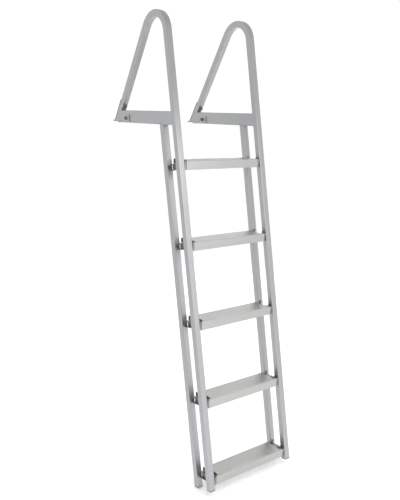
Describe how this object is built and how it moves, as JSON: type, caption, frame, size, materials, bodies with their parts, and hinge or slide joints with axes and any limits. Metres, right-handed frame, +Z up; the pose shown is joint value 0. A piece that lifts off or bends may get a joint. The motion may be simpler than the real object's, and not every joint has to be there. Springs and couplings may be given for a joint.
{
  "type": "dock ladder",
  "caption": "Leaning dock ladder of square tube with wide grooved steps, looped grab handles and deck brackets.",
  "frame": {"origin": "on the dock, in the middle of the underside of the left deck bracket", "axes": "+X across the ladder from its left side to its right side, +Y from the water towards the dock, +Z up"},
  "size_m": [0.4378, 0.8031, 1.8244],
  "materials": {
    "frame_aluminium": "satin extruded square tube, faint lengthwise drawing lines",
    "step_aluminium": "satin extrusion with lengthwise grip grooves",
    "bracket_aluminium": "dull bent plate and channel with cut edges",
    "bolt_steel": "plain stainless hexagon bolts, nuts and washers",
    "cap_plastic": "moulded dark plastic plugs"
  },
  "bodies": {
    "root": {"left_side_tube": "frame_aluminium", "left_rear_rail": "frame_aluminium", "left_deck_bar": "frame_aluminium", "left_deck_bracket": "bracket_aluminium", "left_back_strap": "bracket_aluminium", "left_cross_bolt": "bolt_steel", "left_strap_bolt": "bolt_steel", "left_front_end_cap": "cap_plastic", "left_rear_end_cap": "cap_plastic", "left_step_bracket_1": "bracket_aluminium", "left_step_bolt_1": "bolt_steel", "left_step_bracket_2": "bracket_aluminium", "left_step_bolt_2": "bolt_steel", "left_step_bracket_3": "bracket_aluminium", "left_step_bolt_3": "bolt_steel", "left_step_bracket_4": "bracket_aluminium", "left_step_bolt_4": "bolt_steel", "left_step_bracket_5": "bracket_aluminium", "left_step_bolt_5": "bolt_steel", "right_side_tube": "frame_aluminium", "right_rear_rail": "frame_aluminium", "right_deck_bar": "frame_aluminium", "right_deck_bracket": "bracket_aluminium", "right_back_strap": "bracket_aluminium", "right_cross_bolt": "bolt_steel", "right_strap_bolt": "bolt_steel", "right_front_end_cap": "cap_plastic", "right_rear_end_cap": "cap_plastic", "right_step_bracket_1": "bracket_aluminium", "right_step_bolt_1": "bolt_steel", "right_step_bracket_2": "bracket_aluminium", "right_step_bolt_2": "bolt_steel", "right_step_bracket_3": "bracket_aluminium", "right_step_bolt_3": "bolt_steel", "right_step_bracket_4": "bracket_aluminium", "right_step_bolt_4": "bolt_steel", "right_step_bracket_5": "bracket_aluminium", "right_step_bolt_5": "bolt_steel", "step_1": "step_aluminium", "step_2": "step_aluminium", "step_3": "step_aluminium", "step_4": "step_aluminium", "step_5": "step_aluminium"}
  },
  "joints": []
}
